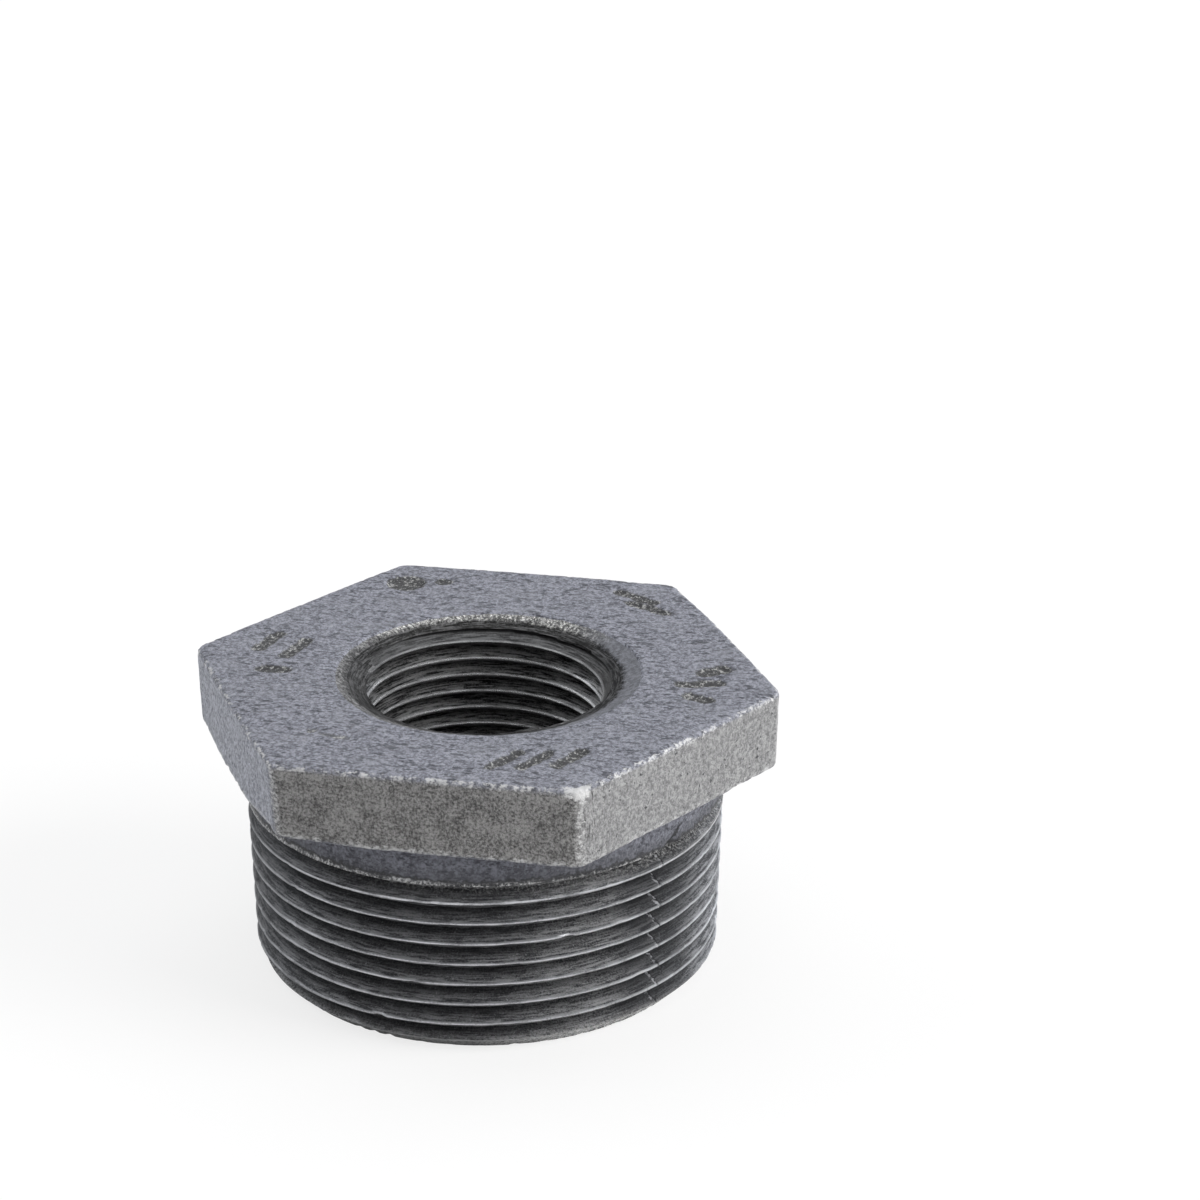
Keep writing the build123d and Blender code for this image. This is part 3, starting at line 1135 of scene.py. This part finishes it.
# %% [markdown]
# ### Rough countersink
# Torn metal sparkles where its small facets face the light, and here the sparkles are
# painted glints. Cells of Voronoi noise give each facet a tone. Most of the torn iron lies
# at the back left, and towards the right the cone is smoother and takes the bluish grey of
# the face.

# %% Irons of the countersink
bench = Bench("rough_countersink")
facets = bench.node("TexVoronoi", {}, {"Vector": bench.place, "Scale": 4.5}, output="Color")
facet_tone = bench.node("SeparateColor", {}, {0: facets})
torn = bench.cloud(0.5, 5.0, shift=5.0, rough=0.75)
smooth_side = bench.step(bench.x - bench.y * 0.4 + (bench.cloud(3.0, shift=6.0) - 0.5) * 6, 1.5, 8.5)
back_left = bench.step(bench.y * 0.9 - bench.x * 0.25 + (torn - 0.5) * 6, 6.0, 12.0)
rough_tone = bench.step(facet_tone * 0.35 + torn * 0.85, 0.42, 0.86)
dull_iron = bench.blend(rough_tone, (0.07, 0.07, 0.072), (0.33, 0.33, 0.335))
torn_iron = bench.blend(rough_tone, (0.10, 0.10, 0.10), (0.50, 0.50, 0.495))
# Painted glints: near-white specks on the torn iron.
painted_glints = bench.step(bench.cloud(0.22, 3.0, shift=30.0), 0.54, 0.63)
torn_iron = bench.blend(painted_glints * 0.9, torn_iron, (0.95, 0.95, 0.93))
smooth_iron = bench.blend(bench.step(torn, 0.3, 0.7), (0.15, 0.155, 0.175), (0.31, 0.32, 0.36))
colour = bench.blend(smooth_side * 0.85, bench.blend(back_left, dull_iron, torn_iron), smooth_iron)
print("nodes for the irons of the countersink", len(bench.tree.nodes))

# %% [markdown]
# Where the cone meets the thread, the tap has scraped a dark ring into it. Rings drawn by
# a wave on the radius would look turned, so the scrapes are noise that is fine outwards
# and long round the axis.

# %% Scraped ring and the countersink's material
RING_RADIUS = 14.0
scrapes = bench.rings(6.0, 4.0, shift=20.0)
scraped = bench.step(bench.radial() + (torn - 0.5) * 1.4, RING_RADIUS + 0.3, RING_RADIUS - 0.3)
scraped_tone = bench.step(scrapes * 0.8 + torn * 0.2, 0.44, 0.62)
scraped_iron = bench.blend(scraped_tone, (0.003, 0.003, 0.003), (0.11, 0.11, 0.113))
colour = bench.blend(scraped * 0.95, colour, scraped_iron)
rough_countersink = bench.finish(
    Base_Color=colour,
    Metallic=0.4,
    Roughness=0.5 + smooth_side * 0.15,
    Specular_IOR_Level=0.2,
    Normal=bench.bump((facet_tone * 0.5 + torn) * (1 - scraped * 0.7), 0.16),
)
print("nodes in rough_countersink", len(bench.tree.nodes))

# %% [markdown]
# ### Faced end
# The end of the thread was turned flat on a lathe, which leaves fine even rings. Here a
# wave on the distance to the axis is the right tool, and a slow noise in its phase keeps
# the rings from being perfect.

# %% Faced end material
bench = Bench("faced_end")
waviness = bench.cloud(4.0, 3.0, shift=2.0)
rings = bench.node("Math", {"operation": "SINE"}, {0: bench.radial() * 38.0 + waviness * 9.0})
grain = bench.cloud(0.25, 4.0, shift=3.0, rough=0.7)
tone = bench.step(rings * 0.12 + grain, 0.3, 0.72)
colour = bench.blend(tone, (0.13, 0.135, 0.15), (0.38, 0.39, 0.42))
relief = bench.bump(rings * 0.4 + grain, 0.02)
faced_end = bench.finish(Base_Color=colour, Metallic=0.8, Roughness=0.45 - tone * 0.08, Normal=relief)
print("nodes in faced_end", len(bench.tree.nodes))

# %% [markdown]
# The finishes are given to the faces by place. The places before the wear are used,
# because the wear moved the vertices a little. A face is judged by the mean of its
# corners, and belongs to the countersink only if all of them do.

# %% Give each face its finish
CAST, MALE, FEMALE, MOUTH, END = range(5)
for finish in (cast_skin_material, die_cut_thread, tapped_thread, rough_countersink, faced_end):
    casting.data.materials.append(finish)
corner_count = np.empty(len(casting.data.polygons), dtype=np.int32)
casting.data.polygons.foreach_get("loop_total", corner_count)
corner_vertex = np.empty(len(casting.data.loops), dtype=np.int32)
casting.data.loops.foreach_get("vertex_index", corner_vertex)
starts = np.concatenate(([0], np.cumsum(corner_count)[:-1]))


def by_face(values):
    """Adds up the vertex values round each face."""
    return np.add.reduceat(np.asarray(values, dtype=float)[corner_vertex], starts)


BORE_RADIUS = 13.9 * MM
face_z = by_face(z) / corner_count
face_radius = by_face(radius) / corner_count
all_mouth = by_face(in_mouth) == corner_count
choice = np.full(len(corner_count), CAST, dtype=np.int32)
choice[(face_radius > WALL_RADIUS) & (face_z < THREAD_TOP + 0.02 * MM)] = MALE
choice[(face_radius < BORE_RADIUS) & (face_z > RECESS_DEPTH + SLACK) & ~all_mouth] = FEMALE
choice[all_mouth & (face_radius < MOUTH_RADIUS)] = MOUTH
choice[face_z < 0.02 * MM] = END
casting.data.polygons.foreach_set("material_index", choice)
casting.data.update()
print("faces of each finish", np.bincount(choice))

# %% [markdown]
# Lumps and round rims should shade as one surface, while the edges of a cut thread stay
# crisp. Smoothing by angle does both: only edges flatter than the angle are smoothed.

# %% Shading
SMOOTH_BELOW = 38
only(casting)
bpy.ops.object.shade_smooth_by_angle(angle=radians(SMOOTH_BELOW))
print("smooth below", SMOOTH_BELOW, "degrees on", casting.name)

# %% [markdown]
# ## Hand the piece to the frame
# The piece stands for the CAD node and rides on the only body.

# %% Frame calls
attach(casting, "root")
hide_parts("hex_bushing")
print("pieces", [casting.name])

# %% [markdown]
# ## Floor, light and camera
# The bushing stands on a white page. The floor is plain and nearly white for the camera
# and in reflections, and darker for all other rays, so that it throws little light up
# under the threads. Part of the camera's view of it is a plain glow, which keeps the page
# even, and the rest is lit, which keeps the shadow.

# %% Floor
PAGE_GLOW = 0.75
UNSEEN_FLOOR = (0.18, 0.18, 0.185)
bpy.ops.object.select_all(action="DESELECT")
bpy.ops.mesh.primitive_plane_add(size=6, location=(0, 0, 0))
floor = bpy.context.object
floor.name = "studio_floor"
bench = Bench("page_white")
seen = bench.node("LightPath", output="Is Camera Ray")
mirrored = bench.node("LightPath", output="Is Glossy Ray")
page_colour = bench.blend(seen + mirrored, UNSEEN_FLOOR, (0.95, 0.95, 0.95))
page_white = bench.finish(Base_Color=page_colour, Roughness=0.9, Specular_IOR_Level=0.0)
glow = bench.node("Emission", {}, {"Color": (1, 1, 1, 1), "Strength": 1.0})
lit = Sock(bench, bench.shader.outputs["BSDF"])
page = bench.node("MixShader", {}, {0: seen * PAGE_GLOW, 1: lit, 2: glow})
bench.feed(bench.tree.nodes["Material Output"].inputs["Surface"], page)
floor.data.materials.append(page_white)
print("floor", round(floor.dimensions.x, 1), "m wide")

# %% [markdown]
# The camera stands where the photographer's did: a little to the right of the front flat
# and well above the head. Its place and focal length come from a fit of the part's known
# sizes to the picture, so they are written as an orbit, a lift and a distance from the
# middle of the head face, with small turns that aim and level it.

# %% Camera
ORBIT = radians(13.05)
ELEVATION = radians(23.5)
DISTANCE = 339.3 * MM
AIM_RIGHT = radians(-1.97)
AIM_UP = radians(1.12)
ROLL = radians(-0.776)
FRAME_PIXELS = 1200
FOCAL_PIXELS = 3387
away = Vector((sin(ORBIT) * cos(ELEVATION), -cos(ORBIT) * cos(ELEVATION), sin(ELEVATION)))
camera_data = bpy.data.cameras.new("photo_camera")
camera_data.sensor_width = 36
camera_data.lens = FOCAL_PIXELS / FRAME_PIXELS * camera_data.sensor_width
camera_data.clip_start = 0.01
camera_data.clip_end = 20
camera = bpy.data.objects.new("photo_camera", camera_data)
bpy.context.collection.objects.link(camera)
aim = Matrix.Rotation(AIM_RIGHT, 4, "Y") @ Matrix.Rotation(AIM_UP, 4, "X") @ Matrix.Rotation(ROLL, 4, "Z")
stand = Matrix.Translation(Vector((0, 0, TOP)) + DISTANCE * away)
camera.matrix_world = stand @ away.to_track_quat("Z", "Y").to_matrix().to_4x4() @ aim
bpy.context.scene.camera = camera
bpy.context.scene.view_settings.view_transform = "Standard"
print("lens", round(camera_data.lens, 2), "mm")

# %% [markdown]
# A strong soft light stands to the right and a weaker one to the left. One hangs above,
# and the front gets the least, which gives the dark front flat. A low bluish light behind
# at the right draws a thin rim on the crests there. Wide suns light the floor evenly, so
# the page stays white to its edges. Lamps close to the part would leave pools of light.


# %% Lights
def soft_sun(name, azimuth, elevation, share, spread, tint):
    """A wide sun that adds a share of full white to a surface that faces it."""
    lamp = bpy.data.lights.new(name, "SUN")
    lamp.energy = share * np.pi
    lamp.angle = radians(spread)
    lamp.color = tint
    sun = bpy.data.objects.new(name, lamp)
    bpy.context.collection.objects.link(sun)
    turn = radians(azimuth)
    lift = radians(elevation)
    towards = Vector((cos(turn) * cos(lift), sin(turn) * cos(lift), sin(lift)))
    sun.matrix_world = towards.to_track_quat("Z", "Y").to_matrix().to_4x4()
    print(name, "share", share)


soft_sun("right_light", -4, 26, 0.88, 40, (1.0, 0.995, 0.985))
soft_sun("left_light", 172, 26, 0.25, 60, (0.96, 0.98, 1.0))
soft_sun("top_light", 95, 66, 0.27, 60, (0.97, 0.985, 1.0))
soft_sun("front_light", -92, 30, 0.16, 50, (1.0, 1.0, 1.0))
soft_sun("rim_light", 58, 12, 0.18, 30, (0.90, 0.94, 1.0))

# %% [markdown]
# The world fills the shadows. The camera sees it at full white, so that the page has no
# horizon, and all other rays meet a weak grey, so that it doesn't wash the colours out.

# %% World
FILL = 0.32
world = bpy.data.worlds.new("studio")
bpy.context.scene.world = world
world.use_nodes = True
sky = Wiring(world.node_tree)
background = sky.tree.nodes["Background"]
seen = sky.node("LightPath", output="Is Camera Ray")
strength = sky.node("MapRange", {}, {"Value": seen, "To Min": FILL, "To Max": 1.0})
sky.feed(background.inputs["Strength"], strength)
sky.feed(background.inputs["Color"], (1, 1, 1, 1))
print("world strength", FILL, "and 1.0 for the camera")

# %% [markdown]
# The finished piece has to keep the size of the CAD model.
